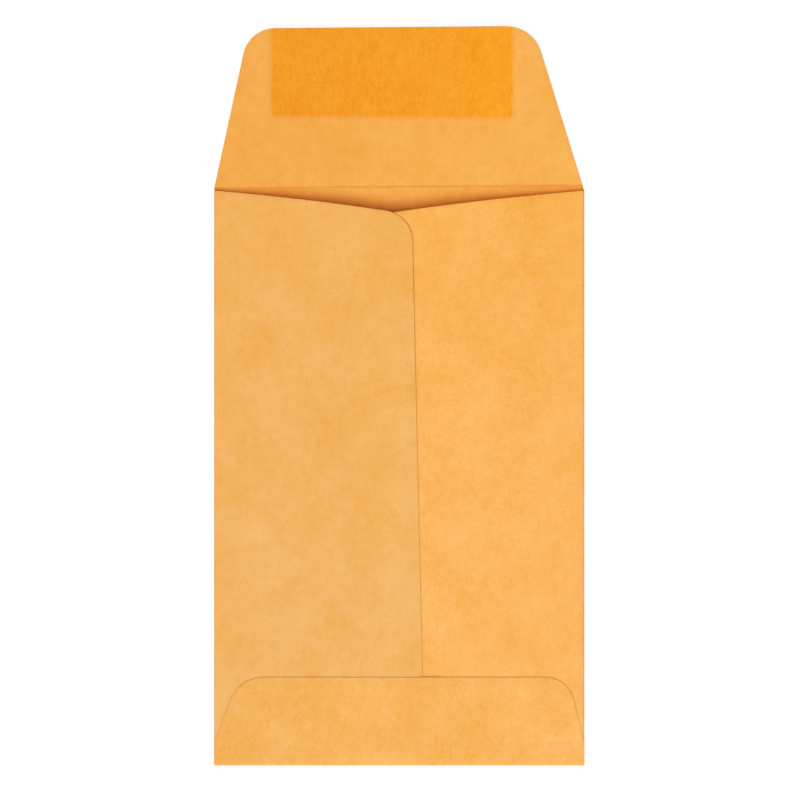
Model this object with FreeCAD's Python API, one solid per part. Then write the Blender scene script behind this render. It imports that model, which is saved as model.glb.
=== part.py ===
import FreeCAD, Part
import os
from math import cos, hypot, radians, sin, tan

# A small open-end envelope, folded from one sheet of kraft paper. It lies on its plain side with its
# flap open. +X is right, +Y runs from the bottom fold to the flap and +Z is up. It is built from the
# middle of the bottom fold, and the last step puts the origin under the middle of the whole.
# Lengths are in millimetres and angles in degrees.

# Paper and dried adhesive
paper_thickness = 0.14
seam_glue_thickness = 0.03
bottom_glue_thickness = 0.03
gum_thickness = 0.02

# Body
body_width = 57.0
body_height = 89.2
side_fold_gap = 0.50
mouth_bow = 1.5

# Top flap, open, and its crease
flap_depth = 24.48
flap_skew = 0.5
flap_lift = 2.5
flap_lean_left = 12.35
flap_lean_right = 17.3
flap_radius_left = 5.0
flap_radius_right = 5.7
score_width = 0.22
score_depth = 0.035

# Gum on the inner face of the flap
gum_width = 37.2
gum_depth = 13.85
gum_offset = -1.15

# Side panels: the left one lies over the right one
throat_setback = 0.7
throat_drop = 3.3
throat_meeting = -0.65
throat_bulge = 0.2
seam_offset = 3.60
seam_slant = 1.32
seam_corner_radius = 4.9
lap_width = 11.0
lap_slope = 5.0
panel_setback = 1.5

# Bottom flap, folded up over the side panels
bottom_flap_depth = 13.6
bottom_flap_straight = 3.4
bottom_flap_lean_left = 20.4
bottom_flap_lean_right = 13.6
bottom_flap_radius_left = 5.5
bottom_flap_radius_right = 4.5

# Bare paper left between a glue film and the edges of the paper over it
seam_glue_margin = 1.5
bottom_glue_margin = 1.5

# Levels and lines that follow from the sizes
side_fold_radius = paper_thickness + side_fold_gap / 2
panel_level = paper_thickness + side_fold_gap
lap_step = paper_thickness + seam_glue_thickness
bottom_flap_level = panel_level + paper_thickness + bottom_glue_thickness
bottom_fold_radius = (bottom_flap_level + paper_thickness) / 2
half_width = body_width / 2
flat_half_width = half_width - side_fold_radius
throat_top = body_height - throat_setback
throat_bottom = throat_top - throat_drop
plan_height = bottom_flap_level + lap_step + mouth_bow + flap_depth
up = FreeCAD.Vector(0, 0, 1)
crease_middle = FreeCAD.Vector(0, body_height, 0)
crease_direction = FreeCAD.Vector(cos(radians(flap_skew)), sin(radians(flap_skew)), 0)


def seam_x(y):
    return seam_offset - (y - bottom_flap_depth) * tan(radians(seam_slant))


def hidden_edge_x(y):
    return seam_x(y) - lap_width


# The lap is level across, from the lowest x of the hidden edge to the highest x of the seam.
lap_left = hidden_edge_x(throat_top)
lap_right = seam_x(panel_setback)
slope_left = lap_left - lap_slope
slope_right = lap_right + lap_slope
flap_across = [-half_width, slope_left, lap_left, lap_right, slope_right, half_width]
panel_along = [panel_setback, bottom_flap_depth, throat_top]


def bow(x, y):
    # The side panels rise from the side folds to the lap, and more towards the mouth.
    left = (x + flat_half_width) / (lap_left + flat_half_width)
    right = (flat_half_width - x) / (flat_half_width - lap_right)
    across = min(left, right, 1.0)
    along = max(y - bottom_flap_depth, 0.0) / (throat_top - bottom_flap_depth)
    return mouth_bow * across ** 2 * (3 - 2 * across) * along


def over_lap(x):
    # 1 over the lap, falling evenly to 0 on each side of it
    left = (x - slope_left) / lap_slope
    right = (slope_right - x) / lap_slope
    return max(min(left, right, 1.0), 0.0)


def right_panel_level(x, y):
    return panel_level + bow(x, y)


def left_panel_level(x, y):
    return panel_level + bow(x, y) + lap_step * over_lap(x)


def seam_glue_level(x, y):
    return right_panel_level(x, y) + paper_thickness


def bottom_glue_level(x, y):
    return left_panel_level(x, y) + paper_thickness


def bottom_flap_underside(x, y):
    # Straight at the fold, and close over the side panels from their lower ends on
    settled = (min(y, panel_setback) - bottom_fold_radius) / (panel_setback - bottom_fold_radius)
    return bottom_flap_level + lap_step * over_lap(x) * settled


def rail(level, y, start, end):
    # One stretch across the envelope: a line where the level is straight, else the cubic through it
    xs = [start + (end - start) * step / 3 for step in range(4)]
    z0, z1, z2, z3 = [level(x, y) for x in xs]
    if abs(z1 - (2 * z0 + z3) / 3) < 1e-9:
        return Part.makeLine(FreeCAD.Vector(start, y, z0), FreeCAD.Vector(end, y, z3))
    heights = [z0, (18 * z1 - 9 * z2 - 5 * z0 + 2 * z3) / 6, (18 * z2 - 9 * z1 - 5 * z3 + 2 * z0) / 6, z3]
    curve = Part.BezierCurve()
    curve.setPoles([FreeCAD.Vector(x, y, z) for x, z in zip(xs, heights)])
    return curve.toShape()


def profile(level, thickness, stops, y):
    # Closed section of a sheet of even thickness, straight across the envelope at y
    lower = [rail(level, y, start, end) for start, end in zip(stops, stops[1:])]
    upper = [edge.translated(up * thickness) for edge in reversed(lower)]
    left = FreeCAD.Vector(stops[0], y, level(stops[0], y))
    right = FreeCAD.Vector(stops[-1], y, level(stops[-1], y))
    ends = [Part.makeLine(right, right + up * thickness), Part.makeLine(left + up * thickness, left)]
    return Part.Wire(lower + ends[:1] + upper + ends[1:])


def layer(level, thickness, across, along, plan):
    # A sheet of even thickness on the surface z = level(x, y), trimmed to a plan outline
    sections = [profile(level, thickness, across, y) for y in along]
    bands = [Part.makeLoft([low, high], True, True) for low, high in zip(sections, sections[1:])]
    return bands[0].fuse(bands[1:]).removeSplitter().common(plan)


def prism(corners, height):
    points = [FreeCAD.Vector(x, y, 0) for x, y in corners]
    return Part.Face(Part.makePolygon(points + points[:1])).extrude(up * height)


def round_corner(solid, x, y, radius):
    # Rounds the upright edge that is nearest to x, y.
    def plan_distance(edge):
        return max(hypot(vertex.X - x, vertex.Y - y) for vertex in edge.Vertexes)

    return solid.makeFillet(radius, [min(solid.Edges, key=plan_distance)])


def roll(centre, outward, run, radius):
    # Half a turn of the paper round a centre line, from the back panel up to the layer above it
    bottom = centre - up * radius
    top = centre + up * radius
    inner_top = top - up * paper_thickness
    inner_bottom = bottom + up * paper_thickness
    edges = [
        Part.Arc(bottom, centre + outward * radius, top),
        Part.LineSegment(top, inner_top),
        Part.Arc(inner_top, centre + outward * (radius - paper_thickness), inner_bottom),
        Part.LineSegment(inner_bottom, bottom),
    ]
    return Part.Face(Part.Wire([edge.toShape() for edge in edges])).extrude(run)


def side_fold(side):
    centre = FreeCAD.Vector(side * flat_half_width, panel_setback, side_fold_radius)
    run = FreeCAD.Vector(0, throat_top - panel_setback, 0)
    return roll(centre, FreeCAD.Vector(side, 0, 0), run, side_fold_radius)


def bottom_fold():
    centre = FreeCAD.Vector(-half_width, bottom_fold_radius, bottom_fold_radius)
    run = FreeCAD.Vector(body_width, 0, 0)
    return roll(centre, FreeCAD.Vector(0, -1, 0), run, bottom_fold_radius)


def throat_disc(side):
    # The throat edge of a side panel is a long arc, from its side fold to where the two edges cross.
    start = FreeCAD.Vector(side * flat_half_width, throat_top, 0)
    end = FreeCAD.Vector(throat_meeting, throat_bottom, 0)
    chord = end - start
    radius = (chord.Length ** 2 / 4 + throat_bulge ** 2) / (2 * throat_bulge)
    down = FreeCAD.Vector(-side * chord.y, side * chord.x, 0) / chord.Length
    centre = (start + end) / 2 + down * (radius - throat_bulge)
    return Part.makeCylinder(radius, plan_height, centre, up)


def side_panel_plan(side, inner_x):
    outer = side * flat_half_width
    corners = [
        (outer, panel_setback),
        (inner_x(panel_setback), panel_setback),
        (inner_x(throat_top), throat_top),
        (outer, throat_top),
    ]
    plan = prism(corners, plan_height).common(throat_disc(side))
    return round_corner(plan, inner_x(throat_bottom), throat_bottom, seam_corner_radius)


def bottom_flap_plan():
    rise = bottom_flap_depth - bottom_flap_straight
    left = -half_width + rise * tan(radians(bottom_flap_lean_left))
    right = half_width - rise * tan(radians(bottom_flap_lean_right))
    corners = [
        (-half_width, bottom_fold_radius),
        (half_width, bottom_fold_radius),
        (half_width, bottom_flap_straight),
        (right, bottom_flap_depth),
        (left, bottom_flap_depth),
        (-half_width, bottom_flap_straight),
    ]
    plan = prism(corners, plan_height)
    plan = round_corner(plan, left, bottom_flap_depth, bottom_flap_radius_left)
    return round_corner(plan, right, bottom_flap_depth, bottom_flap_radius_right)


def flap_corner(side, shoulder, lean_angle):
    # Where a side of the top flap, leaning in from its shoulder, meets the skewed top edge
    lean = tan(radians(lean_angle))
    skew = tan(radians(flap_skew))
    top = body_height + flap_depth
    x = side * (half_width - (top - shoulder) * lean) / (1 + side * lean * skew)
    return x, top + x * skew


def flat_plan(height):
    # Back panel and top flap, as they lie in one plane before the flap is lifted
    # The right side of the flap leans in from its side fold, and the left side from the crease.
    shoulder = body_height - half_width * tan(radians(flap_skew))
    right = flap_corner(1, throat_top, flap_lean_right)
    left = flap_corner(-1, shoulder, flap_lean_left)
    corners = [
        (-half_width, bottom_fold_radius),
        (half_width, bottom_fold_radius),
        (half_width, panel_setback),
        (flat_half_width, panel_setback),
        (flat_half_width, throat_top),
        (half_width, throat_top),
        right,
        left,
        (-half_width, shoulder),
        (-half_width, throat_top),
        (-flat_half_width, throat_top),
        (-flat_half_width, panel_setback),
        (-half_width, panel_setback),
    ]
    plan = prism(corners, height)
    plan = round_corner(plan, *right, flap_radius_right)
    return round_corner(plan, *left, flap_radius_left)


def beyond_crease():
    corner = FreeCAD.Vector(-body_width, body_height, 0)
    box = Part.makeBox(2 * body_width, 2 * flap_depth, plan_height, corner)
    return box.rotate(crease_middle, up, flap_skew)


def lifted(solid):
    return solid.rotate(crease_middle, crease_direction, flap_lift)


def score():
    # A shallow round groove along the crease, on the inner face
    radius = (score_width ** 2 / 4 + score_depth ** 2) / (2 * score_depth)
    level = up * (paper_thickness + radius - score_depth)
    start = crease_middle - crease_direction * body_width + level
    return Part.makeCylinder(radius, 2 * body_width, start, crease_direction)


def folded_sheet():
    flat = flat_plan(paper_thickness)
    back = flat.cut(beyond_crease())
    flap = lifted(flat.common(beyond_crease()))
    left_across = [-flat_half_width, slope_left, lap_left, lap_right]
    right_across = [lap_left, lap_right, flat_half_width]
    flap_along = [bottom_fold_radius, panel_setback, bottom_flap_depth]
    left_plan = side_panel_plan(-1, seam_x)
    right_plan = side_panel_plan(1, hidden_edge_x)
    left_panel = layer(left_panel_level, paper_thickness, left_across, panel_along, left_plan)
    right_panel = layer(right_panel_level, paper_thickness, right_across, panel_along, right_plan)
    bottom_flap = layer(bottom_flap_underside, paper_thickness, flap_across, flap_along, bottom_flap_plan())
    folds = [side_fold(-1), side_fold(1), bottom_fold()]
    sheet = back.fuse([flap, left_panel, right_panel, bottom_flap] + folds)
    return sheet.cut(score()).removeSplitter()


def seam_glue():
    # A strip along the lap, from the lower ends of the panels to a little under the throat
    low = panel_setback + seam_glue_margin
    high = throat_bottom - seam_corner_radius
    corners = [
        (hidden_edge_x(low) + seam_glue_margin, low),
        (seam_x(low) - seam_glue_margin, low),
        (seam_x(high) - seam_glue_margin, high),
        (hidden_edge_x(high) + seam_glue_margin, high),
    ]
    plan = prism(corners, plan_height)
    return layer(seam_glue_level, seam_glue_thickness, [lap_left, lap_right], panel_along, plan)


def bottom_flap_glue():
    # A film under the bottom flap, set back from its top edge and its slanted sides
    low = panel_setback + bottom_glue_margin
    high = bottom_flap_depth - bottom_glue_margin
    slant = tan(radians(max(bottom_flap_lean_left, bottom_flap_lean_right)))
    low_half = half_width - 2 * bottom_glue_margin
    high_half = low_half - (high - low) * slant
    corners = [(-low_half, low), (low_half, low), (high_half, high), (-high_half, high)]
    plan = prism(corners, plan_height)
    return layer(bottom_glue_level, bottom_glue_thickness, flap_across, panel_along[:2], plan)


def flap_gum():
    # A band of gum from the top edge of the flap down, square to the crease
    corner = FreeCAD.Vector(gum_offset - gum_width / 2, body_height + flap_depth - gum_depth, paper_thickness)
    band = Part.makeBox(gum_width, 2 * gum_depth, gum_thickness, corner)
    band = band.rotate(crease_middle, up, flap_skew)
    return lifted(band.common(flat_plan(plan_height)))


def main():
    pieces = {
        "folded_sheet": folded_sheet(),
        "flap_gum": flap_gum(),
        "seam_glue": seam_glue(),
        "bottom_flap_glue": bottom_flap_glue(),
    }
    box = pieces["folded_sheet"].BoundBox
    to_origin = FreeCAD.Vector(-box.Center.x, -box.Center.y, -box.ZMin)
    os.makedirs("parts", exist_ok=True)
    for name, shape in pieces.items():
        shape.translate(to_origin)
        shape.exportStep(f"parts/{name}.step")


main()
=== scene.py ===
from math import atan2, cos, hypot, pi, radians, sin, sqrt, tan
import bmesh
import bpy
import numpy as np
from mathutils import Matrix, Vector


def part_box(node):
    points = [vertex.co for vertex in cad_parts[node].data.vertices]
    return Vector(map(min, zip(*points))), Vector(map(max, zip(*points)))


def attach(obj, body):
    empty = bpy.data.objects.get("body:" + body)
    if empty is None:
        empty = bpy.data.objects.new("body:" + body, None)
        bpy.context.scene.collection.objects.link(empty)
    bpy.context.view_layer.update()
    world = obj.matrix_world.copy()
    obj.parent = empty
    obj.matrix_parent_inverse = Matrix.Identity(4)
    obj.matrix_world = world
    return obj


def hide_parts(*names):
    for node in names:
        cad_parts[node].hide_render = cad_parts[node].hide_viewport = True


# A small open-end envelope of kraft paper. It lies on its plain side with the flap open.
# Lengths are in millimetres and angles in degrees. y is counted from the bottom fold
# and moved to the frame's place when a mesh is made.

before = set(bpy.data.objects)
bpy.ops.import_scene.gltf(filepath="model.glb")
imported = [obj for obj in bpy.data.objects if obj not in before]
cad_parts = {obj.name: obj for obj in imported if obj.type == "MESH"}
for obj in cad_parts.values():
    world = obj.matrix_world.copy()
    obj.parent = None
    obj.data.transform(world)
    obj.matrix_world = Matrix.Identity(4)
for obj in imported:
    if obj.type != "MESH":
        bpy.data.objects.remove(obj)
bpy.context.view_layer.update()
mm = 0.001
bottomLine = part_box("folded_sheet")[0].y / mm
print("frame loaded")

sheet = {
    "thickness": 0.14,
    "glueFilm": 0.03,
    "halfWidth": 28.5,
    "foldGap": 0.50,        # air between the back and the side panels at the side folds
    "panelStart": 1.5,      # lower ends of the side panels and side folds
    "mouth": 88.5,          # upper ends of the side folds
    "crease": 89.2,
    "crushedEdge": 0.04,    # width of the rounding that the knife leaves on a cut edge
    "lightThrough": 0.25,   # share of the light that goes on through a face of the paper
}
panels = {
    "mouthBow": 1.5,        # how far the panels stand up at the mouth
    "meeting": (-0.65, 85.2),
    "edgeBulge": 0.2,       # how far the mouth's edge bulges out from its chord
    "seamAt": 3.60,         # where the seam leaves the bottom flap
    "seamSlant": 1.32,
    "lap": 11.0,
    "lapSlope": 5.0,        # width over which the paper comes down beside the lap
    "cornerRadius": 4.9,
    "marginWidth": 1.6,     # the seam's bare margin, which the glue doesn't reach
    "marginLift": 0.03,     # how far it stands off the paper under it
    "marginFrom": 0.5,      # the lift starts this far above the bottom flap
    "marginOver": 4.0,      # and is whole this much further up
    "cornerLift": 0.12,     # added towards the margin's rounded corner
    "cornerLiftFrom": 40.0,
    "cornerLiftOver": 40.0,
}
bottomFlap = {
    "depth": 13.6,
    "straight": 3.4,        # upright part of its sides, from the bottom fold
    "leanLeft": 20.4,
    "leanRight": 13.6,
    "radiusLeft": 5.5,
    "radiusRight": 4.5,
}
topFlap = {
    "depth": 24.48,
    "skew": 0.5,
    "skewOver": 0.5,        # the rows turn to the crease's skew over this height above the mouth
    "lift": 2.5,
    "leanLeft": 12.35,      # leans in from the crease
    "leanRight": 17.3,      # leans in from the side fold's end
    "radiusLeft": 5.0,
    "radiusRight": 5.7,
    "scoreWidth": 0.22,
    "scoreDepth": 0.035,
    "scoreRow": 0.3,        # height of the rows of cells beside the score
}
unevenness = {
    "panelHeight": 0.035,
    "flapHeight": 0.05,
    "shortest": 13.0,
    "longest": 40.0,
    "waves": 10,
    "seed": 7,
    "calmSide": 7.0,        # none at a fold, all of it this far from the side folds,
    "calmBottom": 6.0,      # the bottom fold
    "calmCrease": 7.0,      # and the crease
    "flapShift": 60.0,      # the flap has its waves from another place than the panels
}
meshing = {
    "cell": 0.75,           # size of a mesh cell
    "foldCells": 12,        # cells round a fold
    "flapTurn": 22,         # points round a flap's corner
    "mouthTurn": 20,        # points round the corner of a side panel
    "weldWithin": 0.0005,
    "edgeSteps": 2,
    "edgeFrom": 50,         # faces that meet at more than this angle have a cut edge between them
    "smoothBelow": 38,      # faces that meet at less than this angle are shaded as one
}

sideFold = sheet["thickness"] + sheet["foldGap"] / 2
panelTop = 2 * sideFold
lapStep = sheet["thickness"] + sheet["glueFilm"]
flapTop = panelTop + lapStep
bottomFold = flapTop / 2
halfWidth = sheet["halfWidth"]
flatHalf = halfWidth - sideFold
slantRate = tan(radians(panels["seamSlant"]))
skewRate = tan(radians(topFlap["skew"]))

chance = np.random.default_rng(unevenness["seed"])
waveCount = unevenness["waves"]
waveLengths = chance.uniform(unevenness["shortest"], unevenness["longest"], waveCount)
waveHeadings = chance.uniform(0, pi, waveCount)
wavePhases = chance.uniform(0, 2 * pi, waveCount)


def atHeight(y):  # a height above the bottom fold as the frame's y in metres
    return (bottomLine + y) * mm


def smooth(t):  # 3t² - 2t³ between 0 and 1
    t = np.clip(t, 0, 1)
    return t * t * (3 - 2 * t)


def ripple(x, y):  # sum of sine waves of several lengths and headings over the root of their number
    along = x[..., None] * np.cos(waveHeadings) + y[..., None] * np.sin(waveHeadings)
    return np.sin(2 * pi * along / waveLengths + wavePhases).sum(-1) / sqrt(waveCount)


def seamX(y):  # inner edge of the left panel: a straight line, slanted by slantRate
    return panels["seamAt"] - (y - bottomFlap["depth"]) * slantRate


def hiddenX(y):  # inner edge of the right panel: the same line, a lap further left
    return seamX(y) - panels["lap"]


lapLeft = hiddenX(sheet["mouth"])
lapRight = seamX(sheet["panelStart"])


def overLap(x):  # 1 over the lap, falling smoothly to 0 on each side
    rise = (x - lapLeft) / panels["lapSlope"] + 1
    fall = (lapRight - x) / panels["lapSlope"] + 1
    return smooth(np.minimum(rise, fall))


def panelRise(x, y):
    # The bow, smooth from each side fold to the lap and in step with the height above the bottom
    # flap, plus the paper's own unevenness, smoothly taken away towards the folds
    left = (x + flatHalf) / (lapLeft + flatHalf)
    right = (flatHalf - x) / (flatHalf - lapRight)
    along = np.maximum(y - bottomFlap["depth"], 0) / (sheet["mouth"] - bottomFlap["depth"])
    bow = panels["mouthBow"] * smooth(np.minimum(left, right)) * along
    awayFromSide = smooth((flatHalf - np.abs(x)) / unevenness["calmSide"])
    awayFromBottom = smooth((y - bottomFold) / unevenness["calmBottom"])
    free = awayFromSide * awayFromBottom
    return bow + unevenness["panelHeight"] * ripple(x, y) * free


def rightTop(x, y):  # outer face of the right panel: its level on the side folds plus the rise
    return panelTop + panelRise(x, y)


def leftTop(x, y):  # outer face of the left panel: the same, a sheet and a film higher over the lap
    return panelTop + panelRise(x, y) + lapStep * overLap(x)


def leftTopLifted(x, y):
    # The same with the seam's bare margin standing off: smooth across the margin, times a lift
    # that grows smoothly towards the rounded corner and from the bottom flap up
    margin = smooth(1 - (seamX(y) - x) / panels["marginWidth"])
    towardsCorner = smooth((y - panels["cornerLiftFrom"]) / panels["cornerLiftOver"])
    lift = panels["marginLift"] + panels["cornerLift"] * towardsCorner
    aboveFlap = smooth((y - bottomFlap["depth"] - panels["marginFrom"]) / panels["marginOver"])
    return leftTop(x, y) + lift * margin * aboveFlap


def bottomFlapTop(x, y):
    # Outer face of the bottom flap: its level plus the rise, plus the lap's step, which grows
    # evenly from the bottom fold to the panels' lower ends
    settled = (np.minimum(y, sheet["panelStart"]) - bottomFold) / (sheet["panelStart"] - bottomFold)
    return flapTop + panelRise(x, y) + lapStep * overLap(x) * settled


def cornerEdge(depth, cornerX, lean, radius):
    # Half width at a depth below a straight top edge. On the slanted side it is the corner's x
    # plus depth times the tangent of the lean. On the rounding it is the circle's centre plus
    # the root of radius² less (radius less depth)².
    slope = radians(lean)
    centre = cornerX - radius * (1 - sin(slope)) / cos(slope)
    onSide = cornerX + depth * tan(slope)
    onRound = centre + np.sqrt(np.maximum(radius ** 2 - (radius - np.minimum(depth, radius)) ** 2, 0))
    return np.where(depth < radius * (1 - sin(slope)), onRound, onSide)


def roundedRows(low, high, lean, radius):
    # Rows from low to high: even cells, then even steps of the angle round the corner
    slope = radians(lean)
    start = high - radius * (1 - sin(slope))
    straight = np.linspace(low, start, max(2, round((start - low) / meshing["cell"]) + 1))
    turn = np.linspace(slope, pi / 2, meshing["flapTurn"])[1:]
    return np.concatenate([straight, high - radius * (1 - np.sin(turn))])


columnCount = round(2 * flatHalf / meshing["cell"]) + 1
innerColumns = np.linspace(-flatHalf, flatHalf, columnCount)
allColumns = np.concatenate([[-halfWidth], innerColumns, [halfWidth]])
panelShare = np.linspace(0, 1, round((sheet["mouth"] - sheet["panelStart"]) / meshing["cell"]) + 1)
panelRows = sheet["panelStart"] + (sheet["mouth"] - sheet["panelStart"]) * panelShare
lowRows = np.linspace(bottomFold, sheet["panelStart"], 3)
foldAngles = np.linspace(-pi / 2, pi / 2, meshing["foldCells"] + 1)


def grid(x, y, z):  # x, y and z side by side, one point for each cell corner
    return np.stack(np.broadcast_arrays(x, y, z), -1)


def acrossTo(left, right):  # each column keeps its share of the row's width
    share = (allColumns + halfWidth) / (2 * halfWidth)
    return left[:, None] + share * (right - left)[:, None]


def flapPoint(x, v, height):
    # v runs square to the skewed crease. Past the crease the plan turns up about it by the lift:
    # the reach goes on as reach * cosine along the plan and reach * sine upwards.
    lift = radians(topFlap["lift"])
    skew = radians(topFlap["skew"])
    reach = np.maximum((v - sheet["crease"]) * cos(skew), 0)
    past = reach > 0
    free = smooth(reach / unevenness["calmCrease"])
    curl = unevenness["flapHeight"] * ripple(x + unevenness["flapShift"], v) * free
    stand = height + curl
    level = np.clip((v - sheet["mouth"]) / topFlap["skewOver"], 0, 1)
    inPlane = reach * (cos(lift) - 1) - np.where(past, stand * sin(lift), 0)
    px = x - inPlane * sin(skew)
    py = v + x * skewRate * level + inPlane * cos(skew)
    return grid(px, py, reach * sin(lift) + np.where(past, stand * cos(lift), stand))


def topFlapSide(v, side):  # the flap's outline on one side, never wider than the envelope
    name = "Right" if side > 0 else "Left"
    lean = topFlap["lean" + name]
    top = sheet["crease"] + topFlap["depth"]
    shoulder = sheet["mouth"] if side > 0 else sheet["crease"] - halfWidth * skewRate
    sheared = 1 + side * tan(radians(lean)) * skewRate
    cornerX = (halfWidth - (top - shoulder) * tan(radians(lean))) / sheared
    reach = cornerEdge(top - v, cornerX, lean, topFlap["radius" + name])
    return side * np.minimum(reach, halfWidth)


def flapPatch():
    # Rows from the mouth over the score to the rounded corners, each ruled from side to side
    top = sheet["crease"] + topFlap["depth"]
    row = topFlap["scoreRow"]
    groove = topFlap["scoreWidth"] / 2 * np.array([-1, -0.67, -0.33, 0, 0.33, 0.67, 1])
    low = np.concatenate([[sheet["mouth"], sheet["mouth"] + row], sheet["crease"] + groove])
    high = roundedRows(low[-1] + row, top, topFlap["leanRight"], topFlap["radiusRight"])
    v = np.concatenate([low, high])
    left = topFlapSide(v, -1)
    right = topFlapSide(v, 1)
    left[0], right[0] = -halfWidth, halfWidth
    x = acrossTo(left, right)
    return flapPoint(x, np.broadcast_to(v[:, None], x.shape), 0.0)


def bottomFlapPatch():
    # Rows from the bottom fold to the rounded corners, each ruled from side to side
    depth = bottomFlap["depth"]
    rise = depth - bottomFlap["straight"]
    y = roundedRows(bottomFold, depth, bottomFlap["leanLeft"], bottomFlap["radiusLeft"])
    ends = []
    for name in ("Left", "Right"):
        lean, radius = bottomFlap["lean" + name], bottomFlap["radius" + name]
        cornerX = halfWidth - rise * tan(radians(lean))
        ends.append(np.minimum(cornerEdge(depth - y, cornerX, lean, radius), halfWidth))
    x = acrossTo(-ends[0], ends[1])
    y = np.broadcast_to(y[:, None], x.shape)
    return grid(x, y, bottomFlapTop(x, y))


def mouthEdge(side, offset):
    # Upper edge of a side panel: a long arc from the fold past the meeting point, then the rounded
    # corner, which touches the arc from inside and the panel's slanted inner edge. The arc's radius
    # is (a quarter of chord² plus bulge²) over twice the bulge. The corner's middle lies on the
    # inner edge moved in by its radius, and that radius inside the arc: a square equation for y.
    start = np.array([side * flatHalf, sheet["mouth"]])
    chord = np.array(panels["meeting"]) - start
    length = hypot(*chord)
    bulge = panels["edgeBulge"]
    radius = (length ** 2 / 4 + bulge ** 2) / (2 * bulge)
    down = np.array([-side * chord[1], side * chord[0]]) / length
    centre = start + chord / 2 + down * (radius - bulge)
    corner = panels["cornerRadius"]
    leaning = sqrt(1 + slantRate ** 2)
    innerEdge = panels["seamAt"] + bottomFlap["depth"] * slantRate + offset
    base = innerEdge + side * corner * leaning - centre[0]
    half = (slantRate * base + centre[1]) / leaning ** 2
    rest = (base ** 2 + centre[1] ** 2 - (radius - corner) ** 2) / leaning ** 2
    y = half + sqrt(half ** 2 - rest)
    middle = np.array([base + centre[0] - slantRate * y, y])
    outward = (middle - centre) / hypot(*(middle - centre))
    inner = -side * np.array([1, slantRate]) / leaning
    touch = middle + corner * outward
    arcX = np.linspace(start[0], touch[0], round(abs(touch[0] - start[0]) / meshing["cell"]) + 1)
    arcY = centre[1] + np.sqrt(radius ** 2 - (arcX - centre[0]) ** 2)
    turnStart = atan2(outward[1], outward[0])
    turnEnd = atan2(inner[1], inner[0]) % (2 * pi)
    turn = np.linspace(turnStart, turnEnd, meshing["mouthTurn"])[1:]
    x = np.concatenate([arcX, middle[0] + corner * np.cos(turn)])
    return x, np.concatenate([arcY, middle[1] + corner * np.sin(turn)])


def panelPatch(side, innerX, offset, level):
    # Ruled in plan from the panel's lower end to its mouth edge, then raised to its level
    topX, topY = mouthEdge(side, offset)
    travel = np.concatenate([[0], np.cumsum(np.hypot(np.diff(topX), np.diff(topY)))])
    start = side * flatHalf
    lowX = start + (innerX(sheet["panelStart"]) - start) * travel / travel[-1]
    share = panelShare[:, None]
    x = lowX + (topX - lowX) * share
    y = sheet["panelStart"] + (topY - sheet["panelStart"]) * share
    return grid(x, y, level(x, y))


def sideFoldPatch(side):  # half a circle of radius sideFold, carried up the side
    x = side * (flatHalf + sideFold * np.cos(foldAngles))
    return grid(x[None, :], panelRows[:, None], (sideFold + sideFold * np.sin(foldAngles))[None, :])


def bottomFoldPatch():  # half a circle of radius bottomFold, carried across the bottom
    y = bottomFold - bottomFold * np.cos(foldAngles)
    z = bottomFold + bottomFold * np.sin(foldAngles)
    return grid(allColumns[None, :], y[:, None], z[:, None])


def flatPatch(columns, y):  # a flat net at height 0
    return grid(columns[None, :], y[:, None], 0.0)


def gridFaces(shape, start, flip):  # the four corners of every cell, turned round by flip
    index = start + np.arange(shape[0] * shape[1]).reshape(shape[:2])
    a, b, c, d = index[:-1, :-1], index[:-1, 1:], index[1:, 1:], index[1:, :-1]
    return np.stack((a, d, c, b) if flip else (a, b, c, d), -1).reshape(-1, 4)


def makePiece(name, patches, thickness, materials, scored=False, chamfer=0):
    # Each patch is (points, flip, tone), a tone being a colour and how grainy it is. They are
    # welded along shared lines, and the open surface, the outer face, gets its wall inside it.
    # The materials are those of the outer face, the inner face and the cut edges.
    points, faces, tones, start = [], [], [], 0
    for patch, flip, tone in patches:
        points.append(patch.reshape(-1, 3))
        tones.append(np.broadcast_to(tone, patch.shape[:2] + (4,)).reshape(-1, 4))
        faces.append(gridFaces(patch.shape, start, flip))
        start += len(points[-1])
    points = (np.concatenate(points) + (0, bottomLine, 0)) * mm
    mesh = bpy.data.meshes.new(name)
    mesh.from_pydata(points, [], np.concatenate(faces))
    painted = mesh.attributes.new("tone", "FLOAT_COLOR", "POINT")
    painted.data.foreach_set("color", np.concatenate(tones).ravel())
    work = bmesh.new()
    work.from_mesh(mesh)
    bmesh.ops.remove_doubles(work, verts=work.verts, dist=meshing["weldWithin"] * mm)
    work.to_mesh(mesh)
    work.free()
    for material in materials:
        mesh.materials.append(material)
    piece = bpy.data.objects.new(name, mesh)
    bpy.context.scene.collection.objects.link(piece)
    wall = piece.modifiers.new("wall", "SOLIDIFY")
    wall.thickness = thickness * mm
    wall.offset = -1
    wall.use_even_offset = True
    if len(materials) > 1:
        wall.material_offset = 1
        wall.material_offset_rim = 2
    if scored:
        addScore(piece, wall)
    if chamfer:
        edge = piece.modifiers.new("edge", "BEVEL")
        edge.width = chamfer * mm
        edge.segments = meshing["edgeSteps"]
        edge.use_clamp_overlap = False
        edge.limit_method = "ANGLE"
        edge.angle_limit = radians(meshing["edgeFrom"])
        edge.material = 2
    bpy.context.view_layer.update()
    depsgraph = bpy.context.evaluated_depsgraph_get()
    finished = bpy.data.meshes.new_from_object(piece.evaluated_get(depsgraph))
    piece.modifiers.clear()
    piece.data = finished
    finished.name = name
    finished.polygons.foreach_set("use_smooth", np.ones(len(finished.polygons), bool))
    finished.set_sharp_from_angle(angle=radians(meshing["smoothBelow"]))
    print(name, "has", sum(len(p.vertices) - 2 for p in finished.polygons), "triangles")
    return piece


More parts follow.
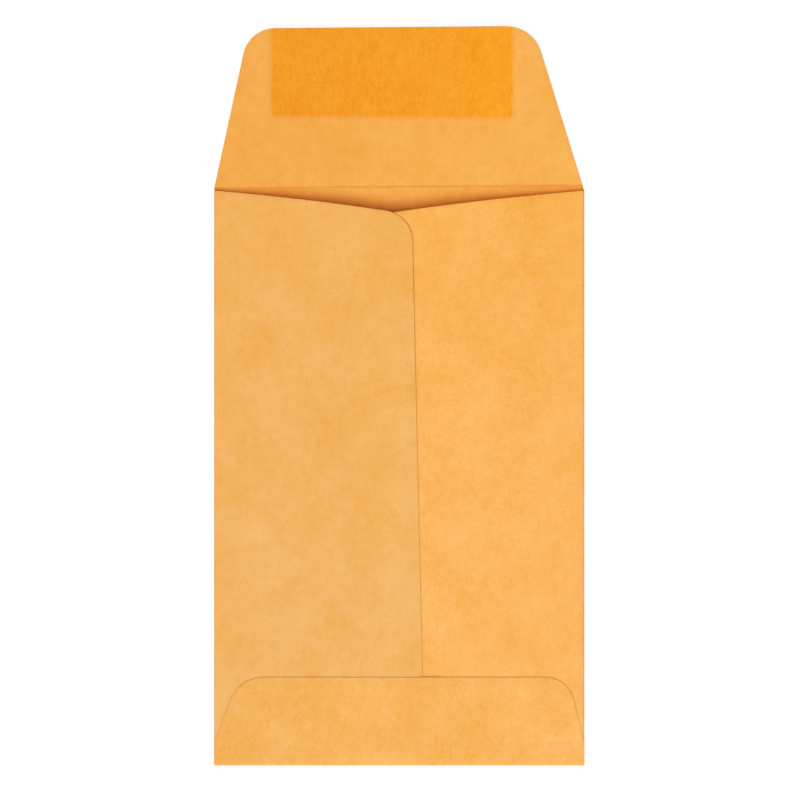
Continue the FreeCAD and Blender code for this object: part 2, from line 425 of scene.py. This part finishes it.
def addScore(piece, wall):
    # The crease is a shallow round groove in the inner face, so the wall is thinner there: by
    # the score's depth in the middle, along an arc through the groove's two sides.
    mesh = piece.data
    co = np.zeros(len(mesh.vertices) * 3)
    mesh.vertices.foreach_get("co", co)
    x, y, z = (co.reshape(-1, 3) / mm).T
    away = np.abs(y - bottomLine - x * skewRate - sheet["crease"])
    width, depth = topFlap["scoreWidth"], topFlap["scoreDepth"]
    radius = (width ** 2 / 4 + depth ** 2) / (2 * depth)
    cut = np.maximum(depth - radius + np.sqrt(np.maximum(radius ** 2 - away ** 2, 0)), 0)
    backOnly, slack = 0.05, 0.02    # up to this height, and this far past the groove's sides
    inScore = (z < backOnly) & (away < width / 2 + slack)
    weight = np.where(inScore, 1 - cut / sheet["thickness"], 1).round(3)
    group = piece.vertex_groups.new(name="wallThickness")
    for value in np.unique(weight):
        group.add(np.flatnonzero(weight == value).tolist(), float(value), "REPLACE")
    wall.vertex_group = group.name


def display(red, green, blue):  # a screen's colour, 0 to 255, turned by the sRGB curve into a node's
    c = np.array((red, green, blue)) / 255
    return (*np.where(c <= 0.04045, c / 12.92, ((c + 0.055) / 1.055) ** 2.4).tolist(), 1.0)


def addNode(tree, kind, inputs=None, **settings):
    made = tree.nodes.new(kind)
    for name, value in settings.items():
        setattr(made, name, value)
    for key, value in (inputs or {}).items():
        if isinstance(value, bpy.types.NodeSocket):
            tree.links.new(value, made.inputs[key])
        else:
            made.inputs[key].default_value = value
    return made


def calculate(tree, operation, *values):
    return addNode(tree, "ShaderNodeMath", dict(enumerate(values)), operation=operation).outputs[0]


def calculateVector(tree, operation, first, second):  # SCALE has its number in the last socket
    key = 3 if operation == "SCALE" else 1
    return addNode(tree, "ShaderNodeVectorMath", {0: first, key: second}, operation=operation).outputs[0]


def blendColours(tree, share, first, second):
    made = addNode(tree, "ShaderNodeMix", {0: share, 6: first, 7: second}, data_type="RGBA")
    return made.outputs[2]


def tintWhere(tree, colour, share, tint):  # the colour times the tint where the share is 1
    return calculateVector(tree, "MULTIPLY", colour, blendColours(tree, share, (1, 1, 1, 1), (*tint, 1)))


def ramp(tree, value, fromLow, fromHigh):  # smooth from 0 to 1 between two values
    inputs = {0: value, 1: fromLow, 2: fromHigh, 3: 0.0, 4: 1.0}
    return addNode(tree, "ShaderNodeMapRange", inputs, interpolation_type="SMOOTHSTEP").outputs[0]


def rampHeights(tree, y, heights):  # the same between two heights above the bottom fold
    return ramp(tree, y, atHeight(heights[0]), atHeight(heights[1]))


def makeGroup(name, inputs, outputs):
    group = bpy.data.node_groups.new(name, "ShaderNodeTree")
    for way, sockets in (("INPUT", inputs), ("OUTPUT", outputs)):
        for label, kind in sockets.items():
            group.interface.new_socket(label, in_out=way, socket_type=kind)
    return group, group.nodes.new("NodeGroupInput").outputs, group.nodes.new("NodeGroupOutput").inputs


paperGrain = {
    "cloudScale": 120.0,
    "cloudDetail": 3,
    "mottleScale": 620.0,
    "fineScale": 2500.0,
    "streakScale": 2300.0,
    "streakLength": 4.5,
    "detail": 2,            # of all but the clouds
    "fineHeight": 0.7,
    "streakHeight": 0.5,
}


def buildPaperBody():
    # Uneven pulp: wide clouds and mottling shift the hue, far more in blue than in red. Fine
    # grain, and fibres that run along the sheet, shift the lightness. A layer is a noise less
    # its middle, times its strength, and the colour is multiplied by 1 plus hue times the first
    # two layers plus grain times the other two.
    group, given, out = makeGroup(
        "paperBody",
        {
            "Vector": "NodeSocketVector",
            "Colour": "NodeSocketColor",
            "Hue": "NodeSocketVector",
            "Grain": "NodeSocketVector",
            "Clouds": "NodeSocketFloat",
            "Mottle": "NodeSocketFloat",
            "Fine": "NodeSocketFloat",
            "Streaks": "NodeSocketFloat",
        },
        {"Colour": "NodeSocketColor", "Height": "NodeSocketFloat"},
    )
    fibreScale = (1, 1 / paperGrain["streakLength"], 1)
    stretched = addNode(group, "ShaderNodeMapping", {"Vector": given["Vector"], "Scale": fibreScale})
    layers = {
        "Clouds": (given["Vector"], paperGrain["cloudScale"], paperGrain["cloudDetail"]),
        "Mottle": (given["Vector"], paperGrain["mottleScale"], paperGrain["detail"]),
        "Fine": (given["Vector"], paperGrain["fineScale"], paperGrain["detail"]),
        "Streaks": (stretched.outputs[0], paperGrain["streakScale"], paperGrain["detail"]),
    }
    heights = {}
    waves = {}
    for name, (vector, scale, detail) in layers.items():
        noise = {"Vector": vector, "Scale": scale, "Detail": detail}
        heights[name] = addNode(group, "ShaderNodeTexNoise", noise).outputs[0]
        centred = calculate(group, "SUBTRACT", heights[name], 0.5)
        waves[name] = calculate(group, "MULTIPLY", centred, given[name])
    around = (1, 1, 1)
    for contrast, wide, close in (("Hue", "Clouds", "Mottle"), ("Grain", "Fine", "Streaks")):
        total = calculate(group, "ADD", waves[wide], waves[close])
        shift = calculateVector(group, "SCALE", given[contrast], total)
        around = calculateVector(group, "ADD", shift, around)
    group.links.new(calculateVector(group, "MULTIPLY", given["Colour"], around), out["Colour"])
    fibres = calculate(group, "MULTIPLY", heights["Streaks"], paperGrain["streakHeight"])
    height = calculate(group, "MULTIPLY_ADD", heights["Fine"], paperGrain["fineHeight"], fibres)
    group.links.new(height, out["Height"])
    return group


paperBody = buildPaperBody()


def placePaper(tree, place, colour, look, grain=None):  # the paper group with one look's strengths
    inputs = {
        "Vector": place,
        "Colour": colour,
        "Hue": look["hue"],
        "Grain": grain or look["grain"],
        "Clouds": look["clouds"],
        "Mottle": look["mottle"],
        "Fine": look["fine"],
        "Streaks": look["streaks"],
    }
    return addNode(tree, "ShaderNodeGroup", inputs, node_tree=paperBody).outputs


def startMaterial(name, look):
    material = bpy.data.materials.new(name)
    material.use_nodes = True
    tree = material.node_tree
    shader = tree.nodes["Principled BSDF"]
    shader.inputs["Roughness"].default_value = look["roughness"]
    shader.inputs["Specular IOR Level"].default_value = look["specular"]
    place = addNode(tree, "ShaderNodeTexCoord").outputs["Object"]
    return material, tree, shader, place


def dress(tree, shader, colour, height, look):
    tree.links.new(colour, shader.inputs["Base Color"])
    relief = {"Height": height, "Strength": look["reliefStrength"], "Distance": look["relief"] * mm}
    tree.links.new(addNode(tree, "ShaderNodeBump", relief).outputs[0], shader.inputs["Normal"])


def letLightThrough(tree, shader, colour):  # thin paper glows a little when lit from behind
    glow = addNode(tree, "ShaderNodeBsdfTranslucent", {"Color": colour}).outputs[0]
    mixed = addNode(tree, "ShaderNodeMixShader", {0: sheet["lightThrough"], 1: shader.outputs[0], 2: glow})
    tree.links.new(mixed.outputs[0], tree.nodes["Material Output"].inputs["Surface"])


def acrossShare(tree, place):  # 0 at the left fold, 1 at the right one
    x = addNode(tree, "ShaderNodeSeparateXYZ", {0: place}).outputs[0]
    return ramp(tree, x, -halfWidth * mm, halfWidth * mm)


kraftOutside = {
    "left": display(243, 189, 107),
    "right": display(250, 191, 101),
    "flapLeft": display(243, 186, 96),
    "flapRight": display(250, 191, 101),
    "grainLeft": 0.85,
    "grainRight": 1.2,
    "grainFlap": 1.5,
    "mouthTint": (1.0, 0.969, 0.81),
    "mouthTintOver": (21.9, 90.9),
    "hue": (0.05, 0.16, 0.60),
    "grain": (0.065, 0.14, 0.32),
    "clouds": 1.7,
    "mottle": 1.1,
    "fine": 1.3,
    "streaks": 0.25,
    "roughness": 0.82,
    "specular": 0.12,
    "relief": 0.006,
    "reliefStrength": 0.6,
}


def makeOutside():
    look = kraftOutside
    material, tree, shader, place = startMaterial("kraftOutside", look)
    painted = addNode(tree, "ShaderNodeAttribute", attribute_name="tone").outputs
    y = addNode(tree, "ShaderNodeSeparateXYZ", {0: place}).outputs[1]
    nearMouth = rampHeights(tree, y, look["mouthTintOver"])
    toned = tintWhere(tree, painted["Color"], nearMouth, look["mouthTint"])
    grain = calculateVector(tree, "SCALE", look["grain"], painted["Alpha"])
    body = placePaper(tree, place, toned, look, grain)
    dress(tree, shader, body["Colour"], body["Height"], look)
    letLightThrough(tree, shader, body["Colour"])
    return material


driedGum = {
    "left": display(223, 141, 20),
    "right": display(231, 148, 20),
    "hue": (0.05, 0.24, 1.60),
    "grain": (0.11, 0.23, 1.30),
    "clouds": 0.8,
    "mottle": 1.2,
    "fine": 1.5,
    "streaks": 1.1,
    "roughness": 0.55,
    "specular": 0.10,
    "relief": 0.004,
    "reliefStrength": 0.5,
}
gumStain = {
    "light": (1.17, 1.25, 1.28),    # the bare stain lets light through, so it is paler to look the same
    "softSide": 0.6,                # half the width over which it fades into the paper
    "softBottom": 0.75,
    "wander": 0.5,                  # width of the strip that its edges stray in
    "wanderScale": 900.0,
}
gumBand = {
    "left": -19.65,
    "right": 17.45,
    "depth": 13.85,
    "tilt": -1.0,           # of the lower edge, against the crease
    "film": 0.02,
    "inset": 0.40,          # the film stops short of the stain it leaves
    "topGap": 0.03,         # and of the flap's cut edge
    "swings": ((0.06, 1.7, 0), (0.05, 4.1, 1)),  # of its lower edge: height, rate in x and phase
}
tiltRate = tan(radians(gumBand["tilt"]))
gumLow = sheet["crease"] + topFlap["depth"] - gumBand["depth"]


def gumColour(tree, place):
    base = blendColours(tree, acrossShare(tree, place), driedGum["left"], driedGum["right"])
    return placePaper(tree, place, base, driedGum)


def gumMask(tree, place, x, squareY):
    # 1 on the gum's band: a ramp up over its left edge times a ramp down over its right one
    # times a ramp up over its tilted lower edge, all moved by one noise
    noise = {"Vector": place, "Scale": gumStain["wanderScale"], "Detail": paperGrain["detail"]}
    ragged = addNode(tree, "ShaderNodeTexNoise", noise).outputs[0]
    wander = gumStain["wander"] * mm
    drift = calculate(tree, "MULTIPLY_ADD", ragged, wander, -wander / 2)
    fromLeft = calculate(tree, "ADD", x, drift)
    fromBottom = calculate(tree, "MULTIPLY_ADD", x, -tiltRate, calculate(tree, "ADD", squareY, drift))
    left, right, low = gumBand["left"] * mm, gumBand["right"] * mm, atHeight(gumLow)
    soft, softer = gumStain["softSide"] * mm, gumStain["softBottom"] * mm
    pastLeft = ramp(tree, fromLeft, left - soft, left + soft)
    beforeRight = ramp(tree, fromLeft, right + soft, right - soft)
    overLow = ramp(tree, fromBottom, low - softer, low + softer)
    return calculate(tree, "MULTIPLY", calculate(tree, "MULTIPLY", pastLeft, beforeRight), overLow)


kraftInside = {
    "left": display(239, 177, 82),
    "right": display(242, 183, 88),
    "hue": (0.05, 0.16, 0.52),
    "grain": (0.06, 0.13, 0.32),
    "clouds": 1.3,
    "mottle": 1.1,
    "fine": 1.2,
    "streaks": 0.2,
    "roughness": 0.85,
    "specular": 0.12,
    "relief": 0.006,
    "reliefStrength": 0.6,
    "creaseShade": (0.91, 0.88, 0.80),  # painted shade along the score
    "creaseCore": 0.2,                  # full shade to this share of the score's width, none past it
    "pocketPaintedShade": (0.98, 0.73, 0.56),   # painted shade, warm and dark, in the pocket by the mouth
    "pocketFade": 3.3,                  # from this far outside the mouth's edge
    "pocketBelow": 0.3,                 # and whole only this far below the crease
    "meetingPaintedShade": (0.90, 0.84, 0.95),  # painted shade in the corner where the two panels meet
    "meetingReach": 4.0,
}


def makeInside():
    # The inner face: painted shade along the crease, in the pocket by the mouth and by the meeting point,
    # and the gum's soft edged stain on the flap
    look = kraftInside
    material, tree, shader, place = startMaterial("kraftInside", look)
    base = blendColours(tree, acrossShare(tree, place), look["left"], look["right"])
    x, y, _ = addNode(tree, "ShaderNodeSeparateXYZ", {0: place}).outputs

    squareY = calculate(tree, "MULTIPLY_ADD", x, -skewRate, y)
    creaseY = atHeight(sheet["crease"])
    fromCrease = calculate(tree, "ABSOLUTE", calculate(tree, "SUBTRACT", squareY, creaseY))
    scoreWidth = topFlap["scoreWidth"] * mm
    # Painted shade along the score, over its real groove
    creaseShadeMask = ramp(tree, fromCrease, scoreWidth, look["creaseCore"] * scoreWidth)
    base = tintWhere(tree, base, creaseShadeMask, look["creaseShade"])

    # Painted shade, warm and dark, on the inner face below the crease and near the mouth's edge
    meetingX, meetingY = panels["meeting"]
    aside = calculate(tree, "ABSOLUTE", calculate(tree, "SUBTRACT", x, meetingX * mm))
    edgeSlope = (sheet["mouth"] - meetingY) / halfWidth
    edgeY = calculate(tree, "MULTIPLY_ADD", aside, edgeSlope, atHeight(meetingY))
    nearMouth = ramp(tree, calculate(tree, "SUBTRACT", y, edgeY), look["pocketFade"] * mm, 0.0)
    belowCrease = ramp(tree, squareY, creaseY, creaseY - look["pocketBelow"] * mm)
    pocketShadeMask = calculate(tree, "MULTIPLY", nearMouth, belowCrease)
    base = tintWhere(tree, base, pocketShadeMask, look["pocketPaintedShade"])

    # Painted shade round the point where the two panels meet
    ends = {0: place, 1: (meetingX * mm, atHeight(meetingY), 0)}
    apart = addNode(tree, "ShaderNodeVectorMath", ends, operation="DISTANCE").outputs["Value"]
    meetingShadeMask = ramp(tree, apart, look["meetingReach"] * mm, 0.0)
    base = tintWhere(tree, base, meetingShadeMask, look["meetingPaintedShade"])

    body = placePaper(tree, place, base, look)
    stain = calculateVector(tree, "MULTIPLY", gumColour(tree, place)["Colour"], gumStain["light"])
    colour = blendColours(tree, gumMask(tree, place, x, squareY), body["Colour"], stain)
    dress(tree, shader, colour, body["Height"], look)
    letLightThrough(tree, shader, colour)
    return material


kraftCutEdge = {
    # darker than the faces: partly the cut edge's own colour, partly painted shade along every edge
    "colour": display(226, 144, 36)[:3],
    "gapPaintedShade": (0.66, 0.42, 0.16),     # painted shade towards the mouth, where the seam's edge stands off the paper
    "deepFrom": (36.9, 76.9),
    "deepUntil": (87.4, 85.4),
    "pressedEdgeLessShade": (1.05, 1.16, 1.30),  # paler round the bottom flap, which is glued down flat: less painted shade along its edge
    "pressedUntil": (14.9, 13.9),
    "roughness": 0.9,
    "specular": 0.2,
    "relief": 0.01,
    "reliefStrength": 0.8,
}


def makeCutEdge():
    look = kraftCutEdge
    material, tree, shader, place = startMaterial("kraftCutEdge", look)
    y = addNode(tree, "ShaderNodeSeparateXYZ", {0: place}).outputs[1]
    # Painted shade on the cut edge towards the mouth
    rising = rampHeights(tree, y, look["deepFrom"])
    gapShadeMask = calculate(tree, "MULTIPLY", rising, rampHeights(tree, y, look["deepUntil"]))
    base = tintWhere(tree, look["colour"], gapShadeMask, look["gapPaintedShade"])
    # Less of the cut edge's painted shade round the bottom flap
    base = tintWhere(tree, base, rampHeights(tree, y, look["pressedUntil"]), look["pressedEdgeLessShade"])
    body = placePaper(tree, place, base, kraftInside)
    dress(tree, shader, body["Colour"], body["Height"], look)
    return material


def makeGum():
    material, tree, shader, place = startMaterial("driedGum", driedGum)
    body = gumColour(tree, place)
    dress(tree, shader, body["Colour"], body["Height"], driedGum)
    return material


driedAdhesive = {
    "colour": display(226, 190, 136),
    "roughness": 0.5,
    "specular": 0.4,
    "relief": 0.006,
    "reliefStrength": 0.5,
}


def makeAdhesive():  # the hidden films: a clear glue that takes the paper's colour
    material, tree, shader, place = startMaterial("driedAdhesive", driedAdhesive)
    body = placePaper(tree, place, driedAdhesive["colour"], kraftInside)
    dress(tree, shader, body["Colour"], body["Height"], driedAdhesive)
    return material


outsideLook, insideLook, cutEdgeLook = makeOutside(), makeInside(), makeCutEdge()
gumLook, adhesiveLook = makeGum(), makeAdhesive()
print("materials made")


def paperTone(colour, grain):  # a patch's tone: its colour, and its grain as the fourth value
    return np.array((*colour[:3], grain))


def mixTones(first, second, share):
    return first + (second - first) * np.asarray(share)[..., None]


leftTone = paperTone(kraftOutside["left"], kraftOutside["grainLeft"])
rightTone = paperTone(kraftOutside["right"], kraftOutside["grainRight"])
backTone = mixTones(leftTone, rightTone, 0.5)
flapTones = (
    paperTone(kraftOutside["flapLeft"], kraftOutside["grainFlap"]),
    paperTone(kraftOutside["flapRight"], kraftOutside["grainFlap"]),
)


def flapTone(patch):  # from the left tone to the right one in step with x
    return mixTones(*flapTones, 0.5 + patch[..., 0] / (2 * halfWidth))


foldShare = (foldAngles / pi + 0.5)[None, :]
bottomPatch = bottomFlapPatch()
bottomRoll = bottomFoldPatch()
kraftSheet = makePiece(
    "kraftSheet",
    [
        (flatPatch(allColumns, lowRows), True, backTone),
        (flatPatch(innerColumns, panelRows), True, backTone),
        (flapPatch(), True, backTone),
        (sideFoldPatch(-1), False, mixTones(backTone, leftTone, foldShare)),
        (sideFoldPatch(1), True, mixTones(backTone, rightTone, foldShare)),
        (panelPatch(-1, seamX, 0.0, leftTopLifted), False, leftTone),
        (panelPatch(1, hiddenX, -panels["lap"], rightTop), True, rightTone),
        (bottomRoll, False, flapTone(bottomRoll)),
        (bottomPatch, False, flapTone(bottomPatch)),
    ],
    sheet["thickness"],
    [outsideLook, insideLook, cutEdgeLook],
    scored=True,
    chamfer=sheet["crushedEdge"],
)
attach(kraftSheet, "root")
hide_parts("folded_sheet")
print("sheet folded")


def gumPatch():
    # The film follows the flap's inner face from its lower edge, a tilted line plus two sine
    # waves, up to the flap's top edge
    left, right = gumBand["left"], gumBand["right"]
    inset = gumBand["inset"]
    x = np.linspace(left + inset, right - inset, round((right - left) / meshing["cell"]))
    wander = sum(height * np.sin(x * rate + phase) for height, rate, phase in gumBand["swings"])
    low = gumLow + x * tiltRate + inset + wander
    top = sheet["crease"] + topFlap["depth"] - gumBand["topGap"]
    share = np.linspace(0, 1, round(gumBand["depth"] / meshing["cell"]))[:, None]
    v = low + (top - low) * share
    return flapPoint(np.broadcast_to(x, v.shape), v, sheet["thickness"] + gumBand["film"])


gumFilm = makePiece("gumFilm", [(gumPatch(), False, backTone)], gumBand["film"], [gumLook])
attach(gumFilm, "root")
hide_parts("flap_gum")

glue = {
    "margin": 1.5,          # bare paper between a film and the edges of the paper over it
    "seamColumns": 12,
}


def seamGluePatch():  # ruled between the two inner edges, each moved in by the margin
    low = sheet["panelStart"] + glue["margin"]
    high = panels["meeting"][1] - panels["cornerRadius"]
    y = np.linspace(low, high, round((high - low) / meshing["cell"]))[:, None]
    share = np.linspace(0, 1, glue["seamColumns"])
    left, right = hiddenX(y) + glue["margin"], seamX(y) - glue["margin"]
    x = left + (right - left) * share
    y = np.broadcast_to(y, x.shape)
    return grid(x, y, rightTop(x, y) + sheet["glueFilm"])


def bottomGluePatch():  # narrower with height by the tangent of the flap's larger lean
    low = sheet["panelStart"] + glue["margin"]
    high = bottomFlap["depth"] - glue["margin"]
    slant = tan(radians(max(bottomFlap["leanLeft"], bottomFlap["leanRight"])))
    y = np.linspace(low, high, round((high - low) / meshing["cell"]))[:, None]
    reach = halfWidth - 2 * glue["margin"] - (y - low) * slant
    x = reach * np.linspace(-1, 1, columnCount)
    y = np.broadcast_to(y, x.shape)
    return grid(x, y, leftTop(x, y) + sheet["glueFilm"])


for name, patch, node in (
    ("seamGlue", seamGluePatch(), "seam_glue"),
    ("bottomGlue", bottomGluePatch(), "bottom_flap_glue"),
):
    film = makePiece(name, [(patch, False, backTone)], sheet["glueFilm"], [adhesiveLook])
    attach(film, "root")
    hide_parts(node)
print("gum and glue laid")

studio = {
    "floorHalf": 1500.0,
    "floorBelow": 0.002,    # keeps the floor's face apart from the sheet's
    "shadowShare": 0.12,    # how much of the object's shadow the white floor keeps
    "ambient": 0.26,
    "keyPower": 107.0,      # watts
    "keySize": 2.8,         # metres
    "keyAt": (-0.2, -1.0, 2.75),
    "frameWidth": 123.24,
    "lookAt": (0.117, 56.274),
    "cameraHeight": 900.0,
    "sensor": 36,
    "seenFrom": 0.01,       # metres
    "seenTo": 10,
}


def seenDirectly(tree):  # 1 for rays from the camera, in a mirror or through glass
    rays = addNode(tree, "ShaderNodeLightPath").outputs
    either = calculate(tree, "MAXIMUM", rays["Is Camera Ray"], rays["Is Glossy Ray"])
    return calculate(tree, "MAXIMUM", either, rays["Is Transmission Ray"])


def makeFloor():
    half = studio["floorHalf"] * mm
    corners = [(-half, -half, 0), (half, -half, 0), (half, half, 0), (-half, half, 0)]
    mesh = bpy.data.meshes.new("floor")
    mesh.from_pydata(corners, [], [(0, 1, 2, 3)])
    material = bpy.data.materials.new("floor")
    material.use_nodes = True
    tree = material.node_tree
    tree.nodes.remove(tree.nodes["Principled BSDF"])
    plain = addNode(tree, "ShaderNodeBsdfDiffuse", {"Color": (1, 1, 1, 1)}).outputs[0]
    white = addNode(tree, "ShaderNodeEmission", {"Color": (1, 1, 1, 1), "Strength": 1.0}).outputs[0]
    share = calculate(tree, "MULTIPLY", seenDirectly(tree), 1 - studio["shadowShare"])
    mixed = addNode(tree, "ShaderNodeMixShader", {0: share, 1: plain, 2: white}).outputs[0]
    tree.links.new(mixed, tree.nodes["Material Output"].inputs["Surface"])
    mesh.materials.append(material)
    floor = bpy.data.objects.new("floor", mesh)
    floor.location.z = -studio["floorBelow"] * mm
    bpy.context.scene.collection.objects.link(floor)
    return floor


makeFloor()

world = bpy.data.worlds.new("studio")
world.use_nodes = True
bpy.context.scene.world = world
sky = world.node_tree.nodes["Background"]
sky.inputs["Color"].default_value = (1, 1, 1, 1)
direct = seenDirectly(world.node_tree)
ambient = studio["ambient"]
strength = calculate(world.node_tree, "MULTIPLY_ADD", direct, 1 - ambient, ambient)
world.node_tree.links.new(strength, sky.inputs["Strength"])

key = bpy.data.lights.new("key", "AREA")
key.shape = "SQUARE"
key.size = studio["keySize"]
key.energy = studio["keyPower"]
keyLamp = bpy.data.objects.new("key", key)
keyLamp.location = studio["keyAt"]
keyLamp.rotation_euler = (-Vector(studio["keyAt"])).to_track_quat("-Z", "Y").to_euler()
bpy.context.scene.collection.objects.link(keyLamp)

lensData = bpy.data.cameras.new("camera")
lensData.sensor_width = studio["sensor"]
lensData.lens = studio["sensor"] * studio["cameraHeight"] / studio["frameWidth"]
lensData.clip_start, lensData.clip_end = studio["seenFrom"], studio["seenTo"]
camera = bpy.data.objects.new("camera", lensData)
lookX, lookY = studio["lookAt"]
camera.location = np.array((lookX, bottomLine + lookY, studio["cameraHeight"])) * mm
bpy.context.scene.collection.objects.link(camera)
bpy.context.scene.camera = camera
bpy.context.scene.view_settings.view_transform = "Standard"
print("studio set")
